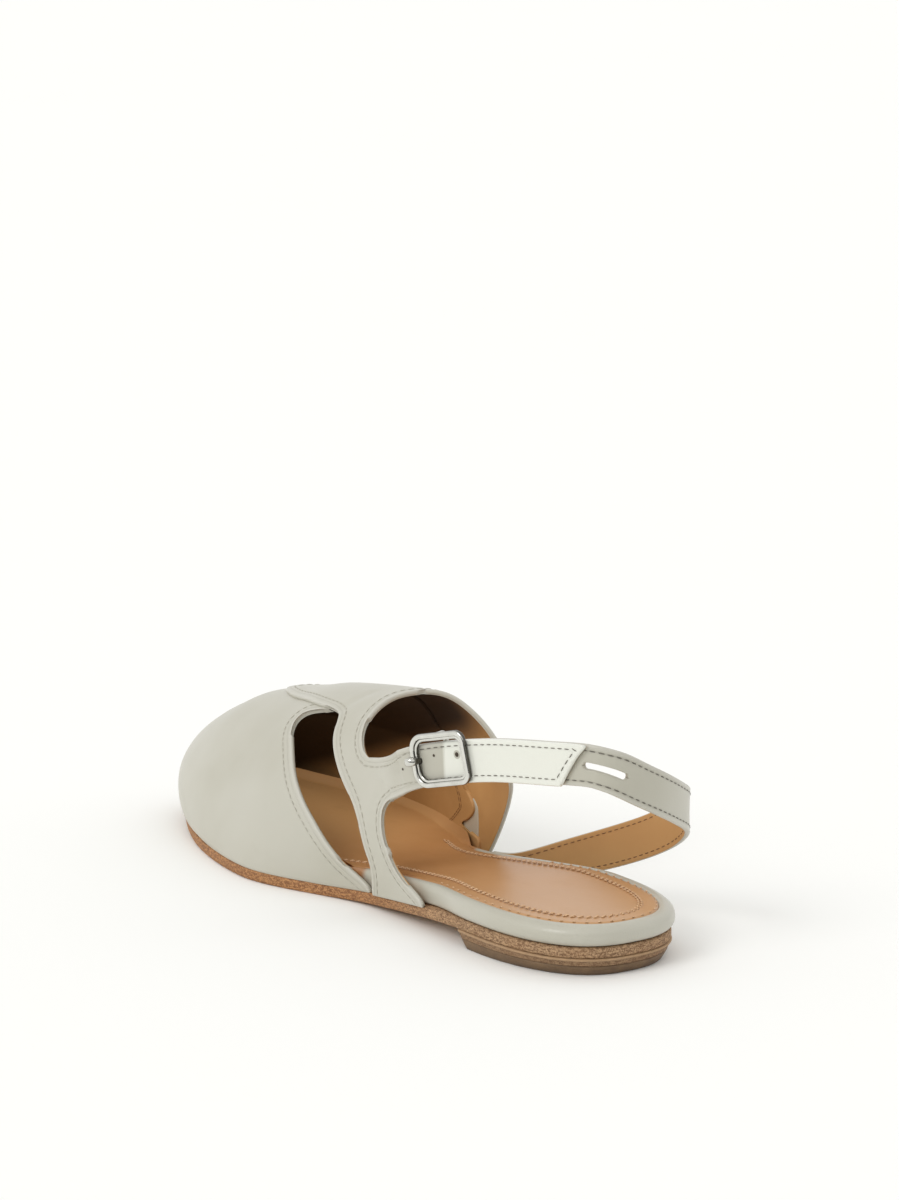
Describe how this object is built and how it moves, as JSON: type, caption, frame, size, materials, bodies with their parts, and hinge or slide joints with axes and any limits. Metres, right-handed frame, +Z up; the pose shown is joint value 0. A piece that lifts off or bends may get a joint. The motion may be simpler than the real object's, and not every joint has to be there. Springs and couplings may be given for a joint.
{
  "type": "womens_sling_back_flat",
  "caption": "Womens closed-toe sling back flat in pearl greige leather with a cut-out side strap, pin buckle, tan stitched sock, wrapped footbed, thin leather sole and low stacked heel",
  "frame": {"origin": "middle of the flat face of the heel, on the floor", "axes": "X towards the inner side of the foot, Y from heel to toe, Z up"},
  "size_m": [0.0806, 0.2542, 0.0722],
  "materials": {
    "pearl_leather": "smooth semi-gloss pearl greige leather",
    "tan_lining": "smooth tan lining leather",
    "sole_leather": "raw stained fibrous sole edge",
    "heel_rubber": "dark brown matt rubber",
    "polished_steel": "polished silver metal"
  },
  "bodies": {
    "root": {"upper": "pearl_leather", "sling_strap": "pearl_leather", "footbed": "pearl_leather", "sock": "tan_lining", "outsole": "sole_leather", "heel_lift": "sole_leather", "top_piece": "heel_rubber", "buckle": "polished_steel", "prong": "polished_steel"}
  },
  "joints": []
}
